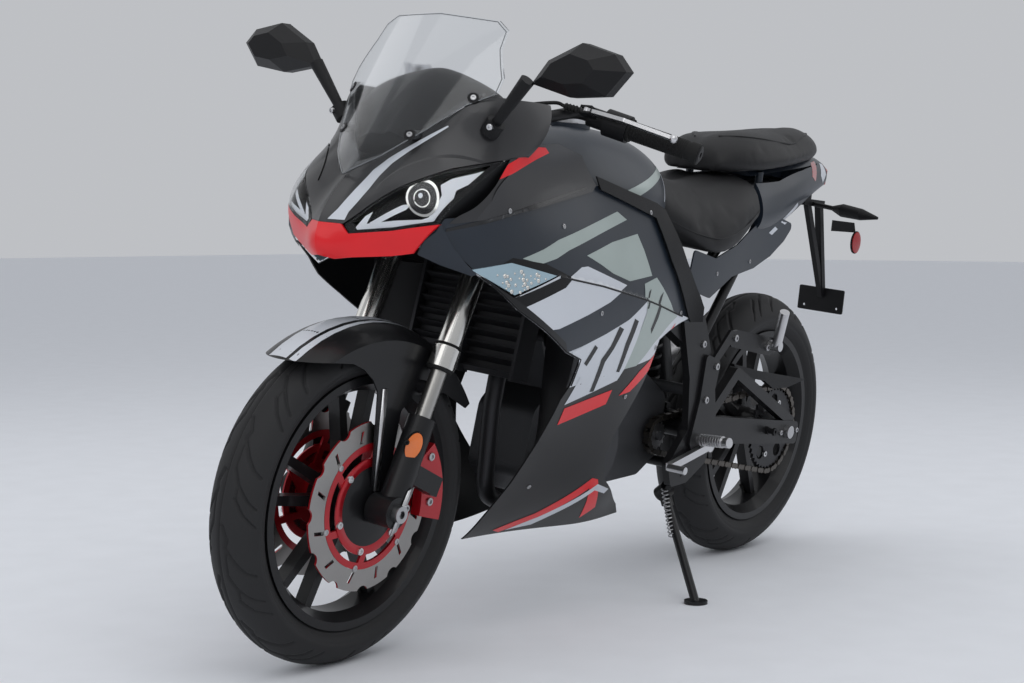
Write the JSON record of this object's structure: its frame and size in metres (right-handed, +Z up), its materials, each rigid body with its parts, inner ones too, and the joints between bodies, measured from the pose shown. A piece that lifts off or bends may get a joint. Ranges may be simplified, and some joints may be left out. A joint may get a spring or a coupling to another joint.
{
  "type": "sport bike",
  "caption": "Fully faired sport bike on its side stand, with turning wheels and steering, a folding stand and a hinged fuel cap.",
  "frame": {"origin": "on the floor, under the middle of the bounding box", "axes": "-Y forward, +X to the bike's left, +Z up; the bike leans 6.77 degrees to its left on its side stand"},
  "size_m": [0.854, 2.0254, 1.144],
  "materials": {
    "frame_black": "satin",
    "engine_grey": "cast",
    "steel": "brushed",
    "alloy_dark": "satin",
    "alloy": "satin",
    "chain_steel": "oiled",
    "black_plastic": "matte",
    "navy_paint": "gloss",
    "white_paint": "gloss",
    "graphite_paint": "metallic",
    "red_paint": "gloss",
    "black_paint": "gloss",
    "seat_cover": "grained",
    "red_lens": "clear",
    "clear_glass": "clear",
    "polished_chrome": "polished",
    "grip_rubber": "ribbed",
    "red_metal": "gloss",
    "tyre_rubber": "matte",
    "black_wheel": "gloss",
    "disc_steel": "brushed"
  },
  "bodies": {
    "root": {"main_frame": "frame_black", "engine": "engine_grey", "drive_sprocket": "steel", "radiator": "alloy_dark", "exhaust_pipe": "alloy_dark", "muffler": "steel", "swingarm": "frame_black", "paddock_spools": "black_plastic", "rear_axle": "steel", "rear_caliper": "frame_black", "rear_shock": "frame_black", "chain": "chain_steel", "chain_guard": "black_plastic", "fuel_tank": "navy_paint", "side_trims": "black_plastic", "rider_seat": "seat_cover", "pillion_seat": "seat_cover", "tail_cowl": "navy_paint", "tail_light": "red_lens", "side_covers": "navy_paint", "plate_carrier": "black_plastic", "rear_indicators": "black_plastic", "nose_cowl": "graphite_paint", "chin_panel": "red_paint", "headlight_lenses": "clear_glass", "headlight_units": "black_plastic", "windscreen": "clear_glass", "cockpit_panel": "black_plastic", "instruments": "black_plastic", "upper_fairings": "graphite_paint", "middle_fairings": "navy_paint", "side_fairings": "white_paint", "lower_fairings": "black_paint", "front_indicators": "clear_glass", "inner_fairing": "black_plastic", "mirrors": "black_plastic", "footrest_hangers": "frame_black", "footpegs": "alloy", "foot_controls": "alloy"},
    "steering": {"triple_clamps": "alloy", "steering_stem": "steel", "fork_uppers": "polished_chrome", "fork_lowers": "frame_black", "handlebars": "frame_black", "grips": "grip_rubber", "hand_controls": "black_plastic", "hand_levers": "alloy", "front_fender": "black_paint", "front_calipers": "red_metal", "front_axle": "steel"},
    "front_wheel": {"front_tyre": "tyre_rubber", "front_rim": "black_wheel", "front_discs": "disc_steel", "front_disc_carriers": "red_metal"},
    "rear_wheel": {"rear_tyre": "tyre_rubber", "rear_rim": "black_wheel", "rear_sprocket": "steel", "rear_disc": "disc_steel"},
    "side_stand": {"side_stand": "frame_black"},
    "fuel_cap": {"fuel_cap": "alloy"}
  },
  "joints": [
    {"name": "steering", "type": "hinge", "parent": "root", "child": "steering", "pos_m": [-0.02695, -0.44162, 0.83228], "axis": [0.1081, 0.3987, 0.9107], "range_deg": [-28, 28]},
    {"name": "front_wheel_spin", "type": "hinge", "parent": "steering", "child": "front_wheel", "pos_m": [-0.09116, -0.7199, 0.29138], "axis": [0.993, 0, -0.1179], "continuous": true},
    {"name": "rear_wheel_spin", "type": "hinge", "parent": "root", "child": "rear_wheel", "pos_m": [-0.08939, 0.6601, 0.30628], "axis": [0.993, 0, -0.1179], "continuous": true},
    {"name": "side_stand_fold", "type": "hinge", "parent": "root", "child": "side_stand", "pos_m": [0.01169, 0.16509, 0.20767], "axis": [0.7979, -0.1676, 0.5791], "range_deg": [0, 95]},
    {"name": "fuel_cap_lid", "type": "hinge", "parent": "root", "child": "fuel_cap", "pos_m": [-0.01031, -0.19789, 0.9724], "axis": [0.993, 0, -0.1179], "range_deg": [0, 80]}
  ]
}
